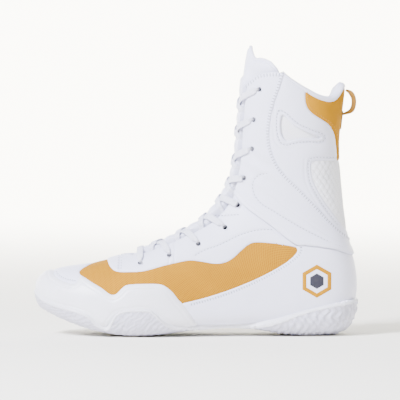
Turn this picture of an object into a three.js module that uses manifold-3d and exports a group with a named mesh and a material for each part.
// A left boxing boot: rubber cupsole, lasted upper of leather and mesh panels, padded tongue, one lace.
// Millimetres. +Z up, toe towards -X, heel towards +X, outer (lateral) side towards -Y. The origin is on
// the floor, under the middle of the boot's box.
import * as THREE from "three";
import Module from "manifold-3d";
import { mergeVertices } from "three/addons/utils/BufferGeometryUtils.js";

const wasm = await Module();
wasm.setup();
const { Manifold, Mesh } = wasm;

// ---------------------------------------------------------------- driving dimensions
const BOOT_LENGTH = 296; // toe rubber to heel rubber
const BOOT_HEIGHT = 262; // floor to the tongue's peak
const BOOT_WIDTH = 102; // across the ball

const GAP = 0.3; // between pieces that lie on each other
const LACE_ROOM = 1; // and on each face of the lace, which bends over them
const LEATHER = 1.6; // outer leather panels
const MESH_SINK = 0.6; // mesh lies this far under the leather's face
const GUARD_RISE = 0.4; // the moulded toe guard stands this far proud
const LINING = 2.2; // lining with its backing foam
const STIFFENER = 1.0; // heel counter and toe puff
const COLLAR_LINING = 1.7;
const COLLAR_RIM = 4; // the lining shows this far above the collar's outer panels
const SOLE_WRAP = 2.4; // rubber wall round the upper
const TONGUE_FACE = 1.2;
const TONGUE_FOAM = 3;
const TONGUE_LINING = 0.9;
const TONGUE_SINK = 0.9; // tongue face under the eyestays' face, where it shows between them
const FOOTBED = 4;
const WEDGE = 3.4; // heel wedge in the outsole
const WEDGE_SEAT = 4; // outsole left under the heel wedge
const SHANK = { length: 72, width: 15, height: 1 };
const LACE = { width: 6, thickness: 1.2, inHole: 3.2 };
const EYELET_RADIUS = 2.4;
const PIPING_RADIUS = 0.9;
const LOOP = { width: 8, neck: 3, thickness: 2.2 };
const EMBLEM_RISE = 0.6;
const AGLET = { radius: 1.5, length: 16 };
const TAIL = 60; // lace tucked away behind each top eyelet

// The shape tables below are drawn for a boot of these sizes, and scale with the driving ones.
const SX = BOOT_LENGTH / 296;
const SZ = BOOT_HEIGHT / 262;
const SY = BOOT_WIDTH / 102;
const CENTRE = 2.1; // moves the boot to the middle of its own width
const flat = (points) => points.map(([x, z]) => [x * SX, z * SZ]);

// Depths under the leather's face, from the thicknesses.
const MESH_FACE = -MESH_SINK;
const LEATHER_BACK = -LEATHER;
const LINING_FACE = LEATHER_BACK - GAP;
const LINING_BACK = LINING_FACE - LINING;
const STIFFENER_BACK = LINING_FACE - STIFFENER;
const COLLAR_FACE = LINING_BACK - GAP;
const COLLAR_BACK = COLLAR_FACE - COLLAR_LINING;
const LACE_UNDER = LINING_BACK - LACE_ROOM - LACE.thickness / 2;
const LACE_OVER = LACE_ROOM + LACE.thickness / 2;
const TONGUE_OUT = LACE_UNDER - LACE.thickness / 2 - LACE_ROOM;

// ---------------------------------------------------------------- the lasted surface
// One row per station from the toe to the top of the shaft. Each is a flat section through the boot,
// square to the side view: its dorsal point, its sole or back point, the middle and half of its width,
// where along it the boot is widest, how square its front and its back are, and the rubber's thickness.
const stations = [
  // dorsal x, z, back x, z, middle, half, widest, front, back, rubber
  [-145.5, 41, -145.5, 41, 6, 0, 0.58, 2.2, 2.4, 2.7],
  [-144.6, 47, -144.6, 34, 6.5, 9.5, 0.58, 2.2, 2.4, 2.8],
  [-141.3, 52.2, -141.5, 27.5, 7, 18.5, 0.6, 2.2, 2.6, 3.1],
  [-136, 56, -136, 23.8, 6.5, 26, 0.62, 2.2, 2.8, 3.3],
  [-129.5, 58.9, -129.5, 20.9, 5.5, 32, 0.64, 2.2, 3.2, 3.5],
  [-120.5, 61.2, -120.5, 17.3, 4, 37, 0.66, 2.2, 3.6, 3.8],
  [-109.5, 62.9, -109.5, 13.4, 2.5, 41, 0.68, 2.2, 4, 4],
  [-96.5, 65, -96.5, 9.6, 1, 44.3, 0.7, 2.2, 4.5, 4.3],
  [-81.5, 68.8, -81.5, 7, -0.5, 46.6, 0.7, 2.1, 5, 5],
  [-65, 73.6, -65, 5.5, -2, 47.8, 0.7, 2.1, 5, 5.8],
  [-48, 78.8, -48, 5.2, -4, 46.8, 0.7, 2.05, 5, 5.8],
  [-31, 85.2, -31, 6, -5.5, 44, 0.7, 2, 5, 5.4],
  [-21, 90, -12, 7.6, -6, 41, 0.69, 2, 5, 4.6],
  [-12, 94.6, 8, 8.9, -6, 38.6, 0.68, 2, 5, 4],
  [-4, 99, 29, 9.6, -5.5, 36.9, 0.67, 2, 5, 3.1],
  [3, 103.6, 50, 9.7, -5, 35.8, 0.66, 2, 4.6, 4.5],
  [9, 108.5, 71, 9, -4, 35.2, 0.65, 2, 4.2, 7],
  [14, 113.9, 92, 8.6, -3, 35.1, 0.64, 2, 3.8, 9.4],
  [18.3, 119.2, 112, 8.6, -2, 35.3, 0.62, 2, 3.4, 9.6],
  [21.8, 124.4, 129, 10.4, -1.2, 35.7, 0.61, 2, 3, 9.2],
  [24.7, 129.2, 140.5, 19, -0.6, 36, 0.6, 2, 2.8, 5.4],
  [27, 133.5, 145.6, 36, -0.2, 36.2, 0.59, 2, 2.7, 2.4],
  [29.2, 138.2, 146, 54, 0, 36.2, 0.58, 2, 2.6, 2.4],
  [31, 143, 142.6, 73, 0, 36, 0.57, 2, 2.5, 2.4],
  [32.6, 148.6, 138, 91, 0, 35.8, 0.56, 2.05, 2.4, 2.4],
  [34, 155, 135, 109, 0, 35.8, 0.55, 2.1, 2.3, 2.4],
  [35.2, 162.5, 133, 127, 0, 36, 0.54, 2.1, 2.3, 2.4],
  [36.2, 171, 131.4, 144, 0, 36.4, 0.53, 2.1, 2.2, 2.4],
  [37.2, 180.5, 130.2, 161, 0, 36.9, 0.52, 2.1, 2.2, 2.4],
  [38, 190.5, 130, 177, 0, 37.5, 0.51, 2.1, 2.1, 2.4],
  [38.8, 200.5, 131.3, 191, 0, 38.1, 0.51, 2.1, 2.1, 2.4],
  [39.7, 210.5, 132.8, 203.5, 0, 38.7, 0.5, 2.1, 2.1, 2.4],
  [40.7, 220.5, 134.2, 215, 0, 39.2, 0.5, 2.1, 2.1, 2.4],
  [41.8, 230.5, 135.6, 226, 0, 39.6, 0.5, 2.1, 2.1, 2.4],
  [43, 240.5, 137, 237, 0, 39.8, 0.5, 2.1, 2.1, 2.4],
  [44.5, 250.5, 138.5, 248, 0, 39.8, 0.5, 2.1, 2.1, 2.4],
  [46.5, 261, 140, 259.5, 0, 39.8, 0.5, 2.1, 2.1, 2.4],
].map(([dx, dz, bx, bz, c, w, ...rest]) => [dx * SX, dz * SZ, bx * SX, bz * SZ, (c + CENTRE) * SY, w * SY, ...rest]);
const TOP = stations.length - 1;

// A station's numbers at any place between two rows, on a smooth curve through them.
function station(k) {
  const i = Math.min(Math.max(Math.floor(k), 0), TOP - 1);
  const f = k - i;
  const p1 = stations[i];
  const p2 = stations[i + 1];
  const p0 = stations[i - 1] ?? p1.map((v, n) => 2 * v - p2[n]);
  const p3 = stations[i + 2] ?? p2.map((v, n) => 2 * v - p1[n]);
  return p1.map((v, n) => {
    const a = 2 * v;
    const b = p2[n] - p0[n];
    const c = 2 * p0[n] - 5 * v + 4 * p2[n] - p3[n];
    const d = 3 * v - p0[n] - 3 * p2[n] + p3[n];
    return (a + b * f + c * f * f + d * f * f * f) / 2;
  });
}

// A point of the leather's face. The angle is 0 on the dorsal line, pi along the sole and the back,
// negative on the lateral side and positive on the medial side.
function surface(k, angle) {
  const [dx, dz, bx, bz, middle, half, widest, front, back] = station(k);
  const cos = Math.cos(angle);
  const power = 2 / (cos > 0 ? front : back);
  const along = cos > 0 ? widest * (1 - cos ** power) : widest + (1 - widest) * (-cos) ** power;
  const out = Math.max(half, 0) * Math.abs(Math.sin(angle)) ** power;
  const side = Math.sin(angle) < 0 ? -1 : 1;
  return new THREE.Vector3(dx + along * (bx - dx), middle + side * out, dz + along * (bz - dz));
}

function normal(k, angle) {
  if (k < 0.05) return new THREE.Vector3(-1, 0, 0);
  const step = 0.04;
  const along = surface(Math.min(k + step, TOP), angle).sub(surface(k - step, angle));
  const round = surface(k, angle + step).sub(surface(k, angle - step));
  return along.cross(round).normalize();
}

// Every layer is sampled at the same stations and angles, so that their facets stay parallel. The angles
// are closer at the throat, where the tongue dips under the eyestays.
const ROWS = [0, 0.7, 1.5, 2.5, 4, 5.5, 7, 9, 11, 13, 15, 17, 18.5, 19.5, 20.5, 21.5, 23, 25, 27, 29.5, 32, 34.5, TOP];
const HALF_ANGLES = [0.1, 0.28, 0.55, 0.9, 1.23, 1.57, 1.95, 2.3, 2.65, 2.94];
const ANGLES = [0, ...HALF_ANGLES, Math.PI, ...HALF_ANGLES.map((a) => 2 * Math.PI - a).reverse()];

const corner = (k, angle, height) => surface(k, angle).addScaledVector(normal(k, angle), height);

// A point at a height over the leather's face, on the facet that the layers have there.
function lift(k, angle, height) {
  const turned = (angle + 4 * Math.PI) % (2 * Math.PI);
  const row = Math.max(ROWS.findLastIndex((v) => v <= Math.min(k, TOP - 0.001)), 0);
  const column = ANGLES.findLastIndex((v) => v <= turned);
  const nextAngle = ANGLES[column + 1] ?? 2 * Math.PI;
  const down = (k - ROWS[row]) / (ROWS[row + 1] - ROWS[row]);
  const round = (turned - ANGLES[column]) / (nextAngle - ANGLES[column]);
  const first = corner(ROWS[row], ANGLES[column], height);
  const last = corner(ROWS[row + 1], nextAngle, height);
  const middle = down > round ? corner(ROWS[row + 1], ANGLES[column], height) : corner(ROWS[row], nextAngle, height);
  const [start, end] = down > round ? [down, round] : [round, down];
  const toMiddle = middle.clone().sub(first).multiplyScalar(start);
  return first.add(toMiddle).addScaledVector(last.sub(middle), end);
}

// The station and the angle's size of the surface points that a side view shows at x, z.
function locate(x, z) {
  const aside = (k) => {
    const [dx, dz, bx, bz] = station(k);
    return (bx - dx) * (z - dz) - (bz - dz) * (x - dx);
  };
  let low = 0.5;
  let high = TOP;
  for (let n = 0; n < 40; n++) {
    const mid = (low + high) / 2;
    if (aside(mid) > 0) low = mid;
    else high = mid;
  }
  const [dx, dz, bx, bz, , , widest, front, back] = station(low);
  const along = Math.hypot(x - dx, z - dz) / Math.hypot(bx - dx, bz - dz);
  const angle =
    along < widest
      ? Math.acos((1 - along / widest) ** (front / 2))
      : Math.PI - Math.acos(Math.min((along - widest) / (1 - widest), 1) ** (back / 2));
  return { k: low, angle };
}

// ---------------------------------------------------------------- solids
function toManifold(geometry) {
  const bare = geometry.index ? geometry.toNonIndexed() : geometry;
  bare.deleteAttribute("normal");
  bare.deleteAttribute("uv");
  const merged = mergeVertices(bare, 1e-4);
  const triVerts = new Uint32Array(merged.index.array);
  return new Manifold(new Mesh({ numProp: 3, vertProperties: merged.attributes.position.array, triVerts }));
}

function toGeometry(manifold) {
  const mesh = manifold.getMesh();
  const geometry = new THREE.BufferGeometry();
  geometry.setAttribute("position", new THREE.BufferAttribute(new Float32Array(mesh.vertProperties), 3));
  geometry.setIndex(new THREE.BufferAttribute(new Uint32Array(mesh.triVerts), 1));
  return geometry;
}

// A solid from points and faces of three or four corners, turned outside out if it needs to be.
function fromFaces(points, faces) {
  const triangles = [];
  for (const [a, b, c, d] of faces) {
    triangles.push(a, b, c);
    if (d !== undefined) triangles.push(a, c, d);
  }
  const geometry = new THREE.BufferGeometry().setFromPoints(points);
  geometry.setIndex(triangles);
  const made = toManifold(geometry);
  if (made.volume() > 0) return made;
  for (let i = 0; i < triangles.length; i += 3) {
    const kept = triangles[i];
    triangles[i] = triangles[i + 1];
    triangles[i + 1] = kept;
  }
  const turned = new THREE.BufferGeometry().setFromPoints(points);
  turned.setIndex(triangles);
  return toManifold(turned);
}

// The whole boot's outer form at a height over the leather's face, as one closed solid.
function form(height) {
  const heightAt = typeof height === "function" ? height : () => height;
  const columns = ANGLES.length;
  const rows = ROWS.slice(1);
  const points = [corner(0, 0, heightAt(0, 0))];
  for (const k of rows) for (const angle of ANGLES) points.push(corner(k, angle, heightAt(k, angle)));
  const [dx, dz, bx, bz, middle] = station(TOP);
  points.push(new THREE.Vector3((dx + bx) / 2, middle, (dz + bz) / 2));
  const at = (row, column) => 1 + row * columns + (column % columns);
  const faces = [];
  for (let j = 0; j < columns; j++) {
    faces.push([0, at(0, j), at(0, j + 1)]);
    faces.push([points.length - 1, at(rows.length - 1, j + 1), at(rows.length - 1, j)]);
    for (let row = 0; row < rows.length - 1; row++)
      faces.push([at(row, j), at(row + 1, j), at(row + 1, j + 1), at(row, j + 1)]);
  }
  return fromFaces(points, faces);
}

// A sheet of the surface between two heights. place(u, v) gives its station and angle, u and v from 0 to 1.
function patch(across, along, place, low, high) {
  const points = [];
  for (const height of [low, high])
    for (let i = 0; i <= along; i++)
      for (let j = 0; j <= across; j++) {
        const { k, angle } = place(j / across, i / along);
        points.push(lift(k, angle, typeof height === "function" ? height(k, angle) : height));
      }
  const at = (layer, i, j) => layer * (along + 1) * (across + 1) + i * (across + 1) + j;
  const faces = [];
  for (let i = 0; i < along; i++)
    for (let j = 0; j < across; j++) {
      faces.push([at(1, i, j), at(1, i, j + 1), at(1, i + 1, j + 1), at(1, i + 1, j)]);
      faces.push([at(0, i, j), at(0, i + 1, j), at(0, i + 1, j + 1), at(0, i, j + 1)]);
    }
  for (let i = 0; i < along; i++) {
    faces.push([at(0, i, 0), at(1, i, 0), at(1, i + 1, 0), at(0, i + 1, 0)]);
    faces.push([at(0, i, across), at(0, i + 1, across), at(1, i + 1, across), at(1, i, across)]);
  }
  for (let j = 0; j < across; j++) {
    faces.push([at(0, 0, j), at(0, 0, j + 1), at(1, 0, j + 1), at(1, 0, j)]);
    faces.push([at(0, along, j), at(1, along, j), at(1, along, j + 1), at(0, along, j + 1)]);
  }
  return fromFaces(points, faces);
}

// A band swept along a line: each point has a width across the way, and a thickness along its up.
function band(path, sides = 4) {
  const points = [];
  path.forEach(({ at, up, width, thickness }, i) => {
    const ahead = path[Math.min(i + 1, path.length - 1)].at.clone().sub(path[Math.max(i - 1, 0)].at).normalize();
    const across = new THREE.Vector3().crossVectors(ahead, up).normalize();
    const above = new THREE.Vector3().crossVectors(across, ahead).normalize();
    for (let j = 0; j < sides; j++) {
      const angle = ((j + 0.5) / sides) * 2 * Math.PI;
      const reach = 0.5 / Math.cos(Math.PI / sides);
      const aside = at.clone().addScaledVector(across, Math.cos(angle) * reach * width);
      points.push(aside.addScaledVector(above, Math.sin(angle) * reach * thickness));
    }
  });
  const last = path.length - 1;
  points.push(path[0].at, path[last].at);
  const at = (i, j) => i * sides + (j % sides);
  const faces = [];
  for (let j = 0; j < sides; j++) {
    for (let i = 0; i < last; i++) faces.push([at(i, j), at(i, j + 1), at(i + 1, j + 1), at(i + 1, j)]);
    faces.push([points.length - 2, at(0, j + 1), at(0, j)]);
    faces.push([points.length - 1, at(last, j), at(last, j + 1)]);
  }
  return fromFaces(points, faces);
}

const WIDE = 120;
const FAR = 400;
const SEAM = 0.15; // half the gap where two halves meet on the boot's middle plane
const LATERAL = [-WIDE, -SEAM];
const MEDIAL = [SEAM, WIDE];
const BOTH = [-WIDE, WIDE];

// Everything behind an outline of the side view, over a stretch of y.
function prism(outline, [low, high]) {
  const shape = new THREE.Shape(outline.map(([x, z]) => new THREE.Vector2(x, z)));
  const geometry = new THREE.ExtrudeGeometry(shape, { depth: high - low, bevelEnabled: false });
  geometry.rotateX(Math.PI / 2);
  geometry.translate(0, high, 0);
  return toManifold(geometry);
}

// An outline moved outwards by a distance.
function grown(outline, distance) {
  const area = outline.reduce((sum, [x, z], i) => {
    const [nx, nz] = outline[(i + 1) % outline.length];
    return sum + x * nz - nx * z;
  }, 0);
  const turn = area > 0 ? 1 : -1;
  return outline.map(([x, z], i) => {
    const [px, pz] = outline[(i + outline.length - 1) % outline.length];
    const [nx, nz] = outline[(i + 1) % outline.length];
    const a = new THREE.Vector2(z - pz, px - x).normalize();
    const b = new THREE.Vector2(nz - z, x - nx).normalize();
    const sum = a.clone().add(b);
    const miter = Math.min(2 / Math.max(sum.lengthSq(), 0.5), 4);
    return [x + sum.x * miter * distance * turn, z + sum.y * miter * distance * turn];
  });
}

// Points along a smooth line through a few.
function curve(points, count) {
  const line = new THREE.SplineCurve(points.map(([x, z]) => new THREE.Vector2(x, z)));
  return line.getPoints(count).map((p) => [p.x, p.y]);
}

// ---------------------------------------------------------------- edges of the side view
const collarOuter = flat([[80, 235.2], [89, 228.5], [99.2, 220.7], [111, 214.3], [122, 212], [129, 215.4], [136, 225.5],
  [150, 240]]);
const eyestayTop = flat([[30, 226], [49, 230.5], [55, 235], [61, 237.3], [72, 238], [77.6, 237.6]]);
const pipingLine = curve(flat([[77.6, 237.6], [74, 225], [67.5, 205.3], [64.6, 182.6], [68, 163.5], [77.5, 147],
  [95.9, 128.5], [120.1, 102.6], [133, 91], [150, 80]]), 22);
const soleLine = flat([[-160, 47], [-147.4, 42.3], [-139.2, 34.6], [-132, 31], [-123.3, 28], [-111.9, 25.2],
  [-100, 21.6], [-94.2, 18.4], [-90.5, 14.5], [-85, 11.5], [-77.4, 8.6], [-72, 13], [-67.3, 18.9], [-60, 23.7],
  [-41.9, 24.1], [-34.6, 22.3], [-28.2, 16.8], [-21.8, 12.6], [-14.6, 10.8], [3.6, 10.6], [44.6, 11.6], [60, 14],
  [76.4, 17.6], [94.6, 22.8], [112.8, 27.3], [131, 31], [160, 35.5]]);
const guardEdge = flat([[-128.5, 66], [-129.6, 56.4], [-124.7, 51.4], [-118, 48.6], [-109.2, 46.6], [-102.8, 53.7],
  [-94.3, 49.1], [-85.5, 45], [-77, 38.7], [-74.6, 38], [-71.6, 39.3], [-65, 45.4], [-61.6, 46.9], [-53, 47.4],
  [-33.8, 47.4], [-28, 45.7], [-23.3, 42.8], [-15.2, 32.9], [-12.3, 30.3], [-5.5, 21.4], [3.6, 7]]);
const meshLowEdge = curve(flat([[-12.3, 30.3], [9.7, 35.7], [32.8, 43.2], [58.2, 53.8], [79.2, 65.3], [90.4, 76.5],
  [90.9, 80.2]]), 10);
const meshHighEdge = curve(flat([[-81, 70], [-79.1, 64.2], [-72.7, 59], [-58, 59.2], [-47, 59.8], [-27.4, 64.9],
  [-4.2, 68.6], [19, 65.8], [32.9, 71], [50.4, 84], [66.2, 84.4], [90.9, 80.2]]), 18);
const wrapLowEdge = flat([[20, 150], [30.9, 135.1], [36.4, 126.2], [45.8, 116], [68.1, 99.7], [88.5, 84], [97.4, 83.3],
  [111, 81.9], [127.4, 78.3], [160, 66]]);
const backMeshEdge = flat([[160, 158.6], [107.5, 158.6], [104, 155], [104.7, 145.1], [107.4, 137], [116.5, 121.5],
  [131, 102.4], [145, 86]]);
const tabEdge = curve(flat([[98.9, 221.1], [99.3, 208.6], [105.9, 200.8], [117.6, 193.8], [125, 185.7], [127.6, 173.5],
  [128.4, 158.9]]), 12);
const windowEdge = flat([[78.6, 199.1], [88.5, 189.8], [103, 182.8], [111.7, 179.6], [94.3, 178.6], [81.5, 177],
  [77.4, 182], [76.6, 191]]);

// Everything over a line that runs at a height over the lowest line of the lasted surface, or under it.
const FAR_DOWN = -FAR;
function bottomLine(rise) {
  const line = [];
  for (let k = 0.6; k <= 20.5; k += 1.42) {
    const [, , bx, bz] = station(k);
    line.push([bx, bz + rise]);
  }
  return line;
}
const over = (rise) => prism([...bottomLine(rise), [FAR, 40 * SZ], [FAR, FAR], [-FAR, FAR], [-FAR, 36 * SZ]], BOTH);
const under = (rise) =>
  prism([...bottomLine(rise), [FAR, 40 * SZ], [FAR, FAR_DOWN], [-FAR, FAR_DOWN], [-FAR, 36 * SZ]], BOTH);
const BOARD = 1.4;

// ---------------------------------------------------------------- layers
// The throat, open between the eyestays, as half of its angle at each station.
const THROAT_START = 8.95;
const clamp = (v) => Math.min(1, Math.max(0, v));
const throatAngle = (k) => (0.37 + 0.07 * clamp((k - 10) / 6)) * clamp((k - THROAT_START) / 0.8) ** 0.5 + 0.02;
const throat = patch(4, 14, (u, v) => {
  const k = THROAT_START + v * (TOP - THROAT_START);
  return { k, angle: (2 * u - 1) * throatAngle(k) };
}, -12, 8);

const face = form(0);
const meshFace = form(MESH_FACE);
const leatherBack = form(LEATHER_BACK);
const liningFace = form(LINING_FACE);
const liningBack = form(LINING_BACK);
const leatherLayer = face.subtract(leatherBack).subtract(throat);
const meshLayer = meshFace.subtract(leatherBack).subtract(throat);
const guardLayer = form(GUARD_RISE).subtract(leatherBack);
const liningLayer = liningFace.subtract(liningBack).subtract(throat);

// Eyelets, as station and angle, from the bottom row to the top.
const eyelets = flat([[-50.3, 66.3], [-24.1, 73.3], [2.1, 83.4], [26.3, 98.1], [38.1, 118.2], [43.9, 142.8],
  [50.8, 169.2], [52.3, 195.6], [57.3, 222.8]]).map(([x, z]) => locate(x, z));
const sides = { lateral: -1, medial: 1 };
const eyeletHoles = Manifold.union(Object.values(sides).flatMap((side) => eyelets.map(({ k, angle }) => {
  const out = normal(k, angle * side);
  const geometry = new THREE.CylinderGeometry(EYELET_RADIUS, EYELET_RADIUS, 16, 7);
  geometry.applyQuaternion(new THREE.Quaternion().setFromUnitVectors(new THREE.Vector3(0, 1, 0), out));
  const middle = lift(k, angle * side, 0);
  geometry.translate(middle.x, middle.y, middle.z);
  return toManifold(geometry);
})));

// ---------------------------------------------------------------- group and materials
const boot = new THREE.Group();
const finishes = {
  white_leather: { color: 0xf1f1f6, roughness: 0.45 },
  yellow_mesh: { color: 0xf2b212, roughness: 0.85 },
  yellow_leather: { color: 0xf5b81c, roughness: 0.5 },
  white_mesh: { color: 0xeceef3, roughness: 0.85 },
  guard_rubber: { color: 0xe6e7ec, roughness: 0.4 },
  outsole_rubber: { color: 0xdcdbe6, roughness: 0.4 },
  lining_knit: { color: 0xe9e9f1, roughness: 0.9 },
  lace_cotton: { color: 0xfafafd, roughness: 0.9 },
  foam: { color: 0xd8d8d2, roughness: 0.95 },
  board: { color: 0xb9a688, roughness: 0.9 },
  black_print: { color: 0x22222a, roughness: 0.5 },
};
const materials = Object.fromEntries(
  Object.entries(finishes).map(([name, look]) => [name, new THREE.MeshStandardMaterial({ name, metalness: 0, ...look })]),
);

function add(name, solid, finish) {
  const whole = solid.decompose().sort((a, b) => b.volume() - a.volume())[0];
  const mesh = new THREE.Mesh(toGeometry(whole), materials[finish]);
  mesh.name = name;
  boot.add(mesh);
}

// ---------------------------------------------------------------- outer panels
const aboveFloor = over(BOARD + GAP);

const guardOutline = [...guardEdge, [3.6 * SX, -FAR], [-FAR, -FAR], [-FAR, 66 * SZ]];
const heelOutline = [...meshLowEdge, ...wrapLowEdge.slice(6), [FAR, 66 * SZ], [FAR, -FAR], [-8 * SX, -FAR]];
const eyestayOutline = [...meshHighEdge, ...wrapLowEdge.slice(0, 6).reverse(), [-60 * SX, 150 * SZ], [-90 * SX, 90 * SZ]];
const wrapOutline = [...wrapLowEdge, ...pipingLine.slice().reverse(), ...eyestayTop.slice().reverse(), [-10, 200 * SZ]];
const tabOutline = [...tabEdge, [FAR, 158.9 * SZ], [FAR, 240 * SZ], ...collarOuter.slice(2).reverse()];
const backMeshOutline = [...backMeshEdge, [FAR, 80 * SZ]];
const shaftOutline = [...pipingLine, [FAR, 80 * SZ], [FAR, 240 * SZ], ...collarOuter.slice().reverse()];
const vampFrontOutline = flat([[-135, 75], [-85, 80], [-88.7, 67.8], [-92, 65.3], [-98.7, 61.9], [-105.3, 58.6],
  [-106, 56.9], [-102, 53], [-104, 35], [-140, 40]]);
const meshOutline = flat([[-110, 64], [-89, 80], [-60, 90], [70, 92], [100, 84], [100, 60], [0, 20], [-90, 20]]);

// Cuts a panel from a layer: inside its outline, above the floor, and clear of the outlines that lie on top.
function panel(layer, outline, stretch, onTop) {
  const first = layer.intersect(prism(outline, stretch)).intersect(aboveFloor);
  return onTop.reduce((left, other) => left.subtract(prism(grown(other, GAP), BOTH)), first).subtract(eyeletHoles);
}

add("toe_guard", guardLayer.subtract(throat).intersect(prism(guardOutline, BOTH)).intersect(aboveFloor), "guard_rubber");
add("vamp_front", panel(leatherLayer, vampFrontOutline, BOTH, [guardOutline]), "white_leather");
const overMesh = [guardOutline, vampFrontOutline, heelOutline, eyestayOutline, wrapOutline];
add("vamp_mesh", panel(meshLayer, meshOutline, BOTH, overMesh), "yellow_mesh");
const seamLine = 0.6; // the throat piece and the eyestays are sewn together on this line
const throatPieceX = -66.5 * SX;
const throatPiece = [[-100 * SX, 50], [throatPieceX, 50], [throatPieceX, 110 * SZ], [-100 * SX, 110 * SZ]];
add("throat_piece", panel(leatherLayer.intersect(prism(throatPiece, BOTH)), eyestayOutline, BOTH, []), "white_leather");
for (const [side, stretch] of [["lateral", LATERAL], ["medial", MEDIAL]]) {
  const name = (piece) => `${piece}_${side}`;
  const nearThroat = grown(throatPiece, seamLine);
  add(name("lower_eyestay"), panel(leatherLayer, eyestayOutline, stretch, [nearThroat, wrapOutline]), "white_leather");
  add(name("ankle_wrap"), panel(leatherLayer, wrapOutline, stretch, []), "white_leather");
  add(name("heel_quarter"), panel(leatherLayer, heelOutline, stretch, [guardOutline, wrapOutline]), "white_leather");
  const shaftTop = [wrapOutline, tabOutline, backMeshOutline, windowEdge];
  add(name("rear_shaft"), panel(leatherLayer, shaftOutline, stretch, shaftTop), "white_leather");
  add(name("window_mesh"), panel(meshLayer, grown(windowEdge, -GAP / 3), stretch, []), "white_mesh");
}
add("back_mesh", panel(meshLayer, backMeshOutline, BOTH, [wrapOutline]), "white_mesh");
add("collar_tab", panel(leatherLayer, tabOutline, BOTH, []), "yellow_leather");

// Piping, laid on the seam between the ankle wrap and the rear shaft.
for (const [name, side] of Object.entries(sides)) {
  const path = pipingLine.slice(1, -3).map(([x, z]) => {
    const { k, angle } = locate(x, z);
    const at = lift(k, angle * side, GAP + 0.2 + PIPING_RADIUS);
    return { at, up: normal(k, angle * side), width: 2 * PIPING_RADIUS, thickness: 2 * PIPING_RADIUS };
  });
  add(`seam_piping_${name}`, band(path, 6), "white_leather");
}

// ---------------------------------------------------------------- lining, stiffeners and collar
const LINING_TOP = 1.5; // the lining stands this far under the eyestays' top edge
const counterOutline = flat([[88, 0], [84, 40], [100, 62], [170, 66], [170, 0]]);
const puffOutline = flat([[-160, 0], [-160, 70], [-124, 70], [-112, 44], [-106, 30], [-106, 0]]);
const aboveBoard = over(GAP - LINING_BACK);
const stiffenerLayer = liningFace.subtract(form(STIFFENER_BACK));
add("heel_counter", stiffenerLayer.intersect(prism(counterOutline, BOTH)).intersect(aboveBoard), "board");
add("toe_puff", stiffenerLayer.intersect(prism(puffOutline, BOTH)).intersect(aboveBoard), "board");
const roomForStiffeners = leatherBack.subtract(form(STIFFENER_BACK - GAP)).intersect(
  prism(grown(counterOutline, GAP), BOTH).add(prism(grown(puffOutline, GAP), BOTH)));
const collarZone = [...curve(flat([[80.5, 245], [80, 200], [92, 188], [112, 178], [150, 174]]), 8), [FAR, 174 * SZ],
  [FAR, 300 * SZ], [80.5 * SX, 300 * SZ]];
const liningOutline = [[-FAR, -FAR], [FAR, -FAR], [FAR, 260 * SZ], [78 * SX, 236 * SZ],
  ...eyestayTop.slice().reverse().map(([x, z]) => [x, z - LINING_TOP]), [-FAR, 200 * SZ]];
const lining = liningLayer.subtract(roomForStiffeners).intersect(aboveBoard).subtract(eyeletHoles)
  .subtract(prism(grown(collarZone, GAP), BOTH));
add("lining_lateral", lining.intersect(prism(liningOutline, [-WIDE, -SEAM])), "lining_knit");
add("lining_medial", lining.intersect(prism(liningOutline, MEDIAL)), "lining_knit");

const underCollarEdge = collarOuter.map(([x, z]) => [x, z - GAP]);
const collarFoam = [...underCollarEdge, [FAR, 100], [80 * SX, 100]];
add("collar_foam", liningLayer.intersect(prism(collarZone, BOTH)).intersect(prism(collarFoam, BOTH)), "foam");
const collarTop = curve(collarOuter.map(([x, z]) => [x, z + COLLAR_RIM * (x > 90 * SX ? 1 : 0.4)]), 12);
const collarSkin = form(COLLAR_FACE).subtract(form(COLLAR_BACK)).intersect(prism(collarZone, BOTH))
  .intersect(prism([...collarTop, [FAR, 300 * SZ], [FAR, 100], [80 * SX, 100]], BOTH));
const collarRim = form(-GAP).subtract(form(COLLAR_BACK)).intersect(prism(
  [...collarTop, ...collarOuter.slice().reverse().map(([x, z]) => [x, z + GAP])], BOTH));
add("collar_lining", collarSkin.add(collarRim).subtract(throat), "lining_knit");

// ---------------------------------------------------------------- sole
// The rubber's face: a wall round the upper that thickens into the sole.
function rubberHeight(k, angle) {
  const [, , , , , , , , , rubber] = station(k);
  const under = Math.min(1, Math.max(0, (-Math.cos(angle) - 0.35) / 0.5));
  return SOLE_WRAP + (rubber * SZ - SOLE_WRAP) * under * under * (3 - 2 * under);
}
const onTheFloor = prism([[-FAR, 0], [FAR, 0], [FAR, FAR], [-FAR, FAR]], BOTH);
const cup = form(rubberHeight).intersect(prism([...soleLine, [160 * SX, -FAR], [-160 * SX, -FAR]], BOTH));
const GUARD_CLEAR = GUARD_RISE + GAP;
const wedgePlan = new THREE.Shape([[64, -22], [82, -25], [104, -25.5], [118, -22], [127, -13], [130, 0], [127, 12],
  [118, 21], [104, 24], [82, 22], [64, 17]].map(([x, y]) => new THREE.Vector2(x * SX, y * SY)));
function heelPlate(low, high, spread) {
  const outline = grown(wedgePlan.getPoints().map((p) => [p.x, p.y]), spread);
  const plan = new THREE.Shape(outline.map(([x, y]) => new THREE.Vector2(x, y)));
  const geometry = new THREE.ExtrudeGeometry(plan, { depth: high - low, bevelEnabled: false });
  geometry.translate(0, 0, low);
  return toManifold(geometry);
}
const room = form(GUARD_CLEAR);
const grooves = Manifold.union([-86, -76, -66, -56, -46, -36].map((x) => {
  const geometry = new THREE.BoxGeometry(2.4, 2 * WIDE, 2.4);
  geometry.translate(x * SX, 0, 0);
  return toManifold(geometry);
}));
add("outsole", cup.intersect(onTheFloor).subtract(room).subtract(heelPlate(WEDGE_SEAT, 20 * SZ, GAP)).subtract(grooves),
  "outsole_rubber");
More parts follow.
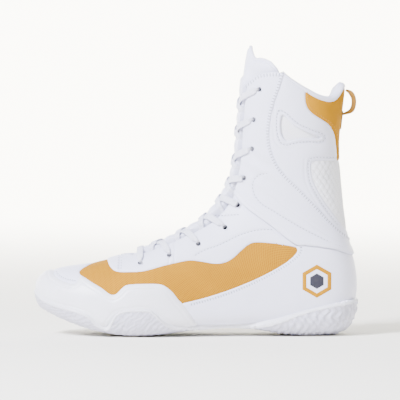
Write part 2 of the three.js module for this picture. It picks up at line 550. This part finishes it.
add("heel_wedge", heelPlate(WEDGE_SEAT + GAP, WEDGE_SEAT + GAP + WEDGE, 0).subtract(room), "foam");

add("lasting_board", face.subtract(leatherBack).intersect(under(BOARD)), "board");
const shankX = 40 * SX;
function shankBlock(spread, low, high) {
  const geometry = new THREE.BoxGeometry(SHANK.length + 2 * spread, SHANK.width + 2 * spread, high - low);
  geometry.translate(shankX, -2 * SY, (low + high) / 2);
  return toManifold(geometry);
}
const [, , , archZ] = station(15);
const foamLayer = liningFace.subtract(liningBack).intersect(under(-LINING_BACK));
const shankLow = archZ - LINING_FACE + GAP;
add("midsole_foam", foamLayer.subtract(shankBlock(GAP, -20, 60 * SZ)), "foam");
add("shank", shankBlock(0, shankLow, shankLow + SHANK.height), "board");
const footbedForm = form(LINING_BACK - GAP - 0.4);
add("footbed", footbedForm.intersect(under(FOOTBED + GAP + 0.4 - LINING_BACK)), "lining_knit");

// ---------------------------------------------------------------- tongue
const TONGUE_START = 9.2;
const tongueHalf = (k) => 0.66 + 0.62 * clamp((k - TONGUE_START) / 18);
function tonguePlace(u, v) {
  const aside = Math.abs(2 * u - 1);
  const peak = TOP - 0.01 - 1.1 * Math.min(1, aside / 0.35) - 1.1 * aside ** 2;
  const k = TONGUE_START + v * (peak - TONGUE_START);
  return { k, angle: (2 * u - 1) * tongueHalf(k) };
}
const tongueZone = patch(6, 12, tonguePlace, -16, 4);
// How far the tongue's face lies under the leather's: deep under the eyestays, shallow between them.
function tongueSink(k, angle) {
  const aside = Math.min(angle, 2 * Math.PI - angle);
  const shown = clamp((0.28 - aside) / 0.18) * clamp((k - 9) / 2);
  return TONGUE_OUT + (-TONGUE_SINK - TONGUE_OUT) * shown;
}
const FOAM_FACE = -TONGUE_FACE - GAP;
const foamBack = TONGUE_OUT + FOAM_FACE - TONGUE_FOAM;
const tongueForm = (depth) => form((k, angle) => tongueSink(k, angle) + depth);
add("tongue_face", tongueForm(0).subtract(tongueForm(-TONGUE_FACE)).intersect(tongueZone), "white_leather");
add("tongue_foam", tongueForm(FOAM_FACE).subtract(form(foamBack)).intersect(tongueZone), "foam");
const tongueLining = form(foamBack - GAP).subtract(form(foamBack - GAP - TONGUE_LINING));
add("tongue_lining", tongueLining.intersect(tongueZone), "lining_knit");

// ---------------------------------------------------------------- lace
// One lace. It lies across the bottom row, goes into each eyelet from outside, runs up under the eyestay,
// comes out past its edge, and crosses to the next eyelet of the other side.
const HALF_CROSS = (LACE.thickness + 0.3) / 2;
function lacePoint(k, angle, height, width, face) {
  return { at: lift(k, angle, height), up: normal(k, angle).multiplyScalar(face), width, thickness: LACE.thickness };
}
// From under one eyelet across to the next one of the other side. The lace turns over at each eyelet, so
// its face, 1 or -1, is the one that looks outwards here.
function crossing(from, to, side, above, face) {
  const edge = throatAngle((from.k + to.k) / 2);
  const steps = [
    [from.angle - 0.13, LACE_UNDER, 4.4],
    [edge + 0.09, LACE_UNDER, LACE.width],
    [edge - 0.1, LACE_UNDER, LACE.width],
    [edge - 0.18, LACE_UNDER + 2.6, LACE.width],
    [0.16, LACE_OVER - 0.7, LACE.width],
    [0.08, LACE_OVER + HALF_CROSS + above * HALF_CROSS - 0.3, LACE.width],
    [-0.06, LACE_OVER + HALF_CROSS + above * HALF_CROSS, LACE.width],
    [-0.2, LACE_OVER + 0.5 + 0.5 * above, LACE.width],
    [-0.36, LACE_OVER + 0.3, LACE.width],
    [-0.6, LACE_OVER + 0.1, LACE.width],
    [0.1 - to.angle, LACE_OVER, 4.4],
  ];
  const fine = steps.flatMap((step, i) => {
    const next = steps[i + 1] ?? step;
    const parts = Math.max(1, Math.round((step[0] - next[0]) / 0.11));
    return [...Array(parts).keys()].map((n) => step.map((v, j) => v + ((next[j] - v) * n) / parts));
  });
  return fine.map(([angle, height, width]) => {
    const share = (from.angle - angle) / (from.angle + to.angle);
    return lacePoint(from.k + (to.k - from.k) * share, side * angle, height, width, face);
  });
}
function throughEyelet({ k, angle }, side, face) {
  const outward = surface(k, side * (angle + 0.05)).sub(surface(k, side * (angle - 0.05))).normalize();
  return [LACE_OVER - 0.3, LACE_UNDER + 0.4].map((height) => ({
    ...lacePoint(k, side * angle, height, LACE.inHole, 1),
    up: outward.clone().multiplyScalar(face),
  }));
}
// The strand that starts at the bottom row on one side, up to its tucked end.
function strand(first) {
  const path = [];
  let side = first;
  let face = 1;
  eyelets.forEach((eyelet, row) => {
    path.push(...throughEyelet(eyelet, side, face));
    if (row === eyelets.length - 1) return;
    face = -face;
    path.push(...crossing(eyelet, eyelets[row + 1], side, first * (row % 2 ? 1 : -1), face));
    side = -side;
  });
  const top = eyelets[eyelets.length - 1];
  const perRow = 10 * SZ;
  const tuck = [[0, 0.12], [0.35, 0.2], [0.9, 0.24], [TAIL / 2 / perRow, 0.24], [TAIL / perRow, 0.24]];
  for (const [down, aside] of tuck) {
    const width = down === TAIL / perRow ? AGLET.radius * 2 : LACE.width;
    path.push(lacePoint(top.k - down, side * (top.angle + aside), LACE_UNDER, width, face));
  }
  return path;
}
const bar = [-0.8, -0.6, -0.4, -0.2, 0, 0.2, 0.4, 0.6, 0.8].map((share) =>
  lacePoint(eyelets[0].k, eyelets[0].angle * share, LACE_OVER + 0.4, LACE.width, 1));
const left = strand(-1);
const right = strand(1);
add("lace", band([...left.slice().reverse(), ...bar, ...right]), "lace_cotton");
for (const [name, path] of [["lateral", left], ["medial", right]]) {
  const end = path[path.length - 1];
  const way = end.at.clone().sub(path[path.length - 2].at).normalize();
  const at = (distance) => ({ ...end, at: end.at.clone().addScaledVector(way, distance) });
  add(`aglet_${name}`, band([at(GAP), at(GAP + AGLET.length / 2), at(GAP + AGLET.length)]), "lace_cotton");
}

// ---------------------------------------------------------------- pull loop and its strip
const behind = (z, height) => {
  const { k } = locate(134 * SX, z * SZ);
  const { x, z: level } = lift(k, Math.PI, height);
  return [x, level];
};
const loopRoot = GAP + LOOP.thickness / 2;
const loopEnds = [behind(222.5, loopRoot), behind(200.5, loopRoot)];
const loopLine = curve([loopEnds[0], ...flat([[141, 220], [143.6, 215], [143.6, 208.6], [141.2, 203.6]]), loopEnds[1]], 14);
const loopPath = loopLine.map(([x, z], i, all) => {
  const share = i / (all.length - 1);
  const open = Math.min(1, Math.min(share, 1 - share) / 0.22);
  const up = new THREE.Vector3(x - 137 * SX, 0, z - 211 * SZ).normalize();
  const width = LOOP.neck + (LOOP.width - LOOP.neck) * open;
  return { at: new THREE.Vector3(x, CENTRE, z), up, width, thickness: LOOP.thickness };
});
add("pull_loop", band(loopPath), "yellow_leather");
const stripTop = locate(135 * SX, 198 * SZ).k;
const stripBottom = locate(131.2 * SX, 188 * SZ).k;
add("pull_strip", patch(4, 4, (u, v) => ({
  k: stripBottom + v * (stripTop - stripBottom),
  angle: Math.PI + (u - 0.5) * 0.3,
}), GAP, GAP + 0.8), "yellow_leather");

// ---------------------------------------------------------------- emblem
// A plain six-sided badge on the heel.
const badge = { x: 108 * SX, z: 52 * SZ, radius: 11 };
const badgeOutline = [...Array(6).keys()].map((n) => {
  const angle = ((n + 0.5) / 6) * 2 * Math.PI;
  return [badge.x + badge.radius * Math.cos(angle), badge.z + badge.radius * Math.sin(angle)];
});
add("heel_emblem", form(GAP + EMBLEM_RISE).subtract(form(GAP)).intersect(prism(badgeOutline, LATERAL)), "yellow_leather");

export default boot;
